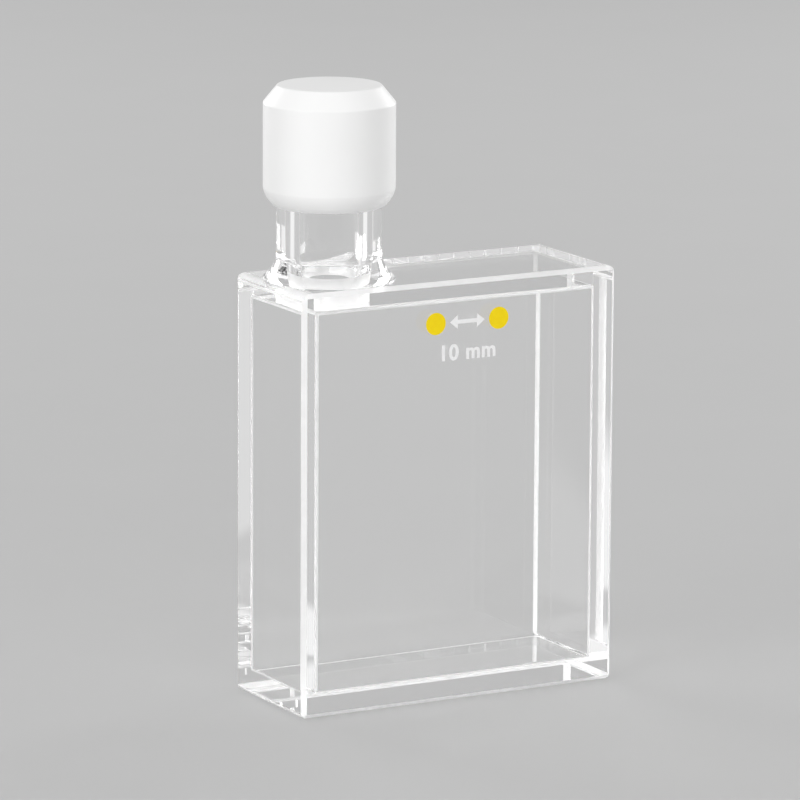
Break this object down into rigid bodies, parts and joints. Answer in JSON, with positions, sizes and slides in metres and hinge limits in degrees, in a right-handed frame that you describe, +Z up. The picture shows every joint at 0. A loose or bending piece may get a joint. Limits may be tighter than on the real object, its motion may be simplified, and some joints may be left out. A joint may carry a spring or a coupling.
{
  "type": "sealable spectrophotometer cell",
  "caption": "Wide fused-quartz cell with a 10 mm light path, a closed top, a round neck at one end and a white screw cap with a seal disc.",
  "frame": {"origin": "middle of the underside of the flat body", "axes": "+Z up along the neck, +Y along the light path from the front window to the rear window, and the neck stands at the -X end"},
  "size_m": [0.0324, 0.013, 0.0567],
  "materials": {
    "quartz": "polished, with finely ground edges",
    "cap_plastic": "satin, turned",
    "seal": "matte"
  },
  "bodies": {
    "cell": {"front_window": "quartz", "rear_window": "quartz", "left_wall": "quartz", "right_wall": "quartz", "base_plate": "quartz", "top_plate": "quartz", "neck_tube": "quartz"},
    "seal": {"cap_liner": "seal"},
    "cap": {"screw_cap": "cap_plastic"}
  },
  "joints": [
    {"name": "cap_rise", "type": "slide", "parent": "cell", "child": "seal", "axis": [0, 0, 1], "range_m": [0, 0.00945]},
    {"name": "cap_turn", "type": "hinge", "parent": "seal", "child": "cap", "pos_m": [-0.01015, 0, 0.05], "axis": [0, 0, 1], "range_deg": [0, 1620]}
  ],
  "couplings": [
    {"joint": "cap_turn", "follows": "cap_rise", "rad_per_m": 2992}
  ]
}
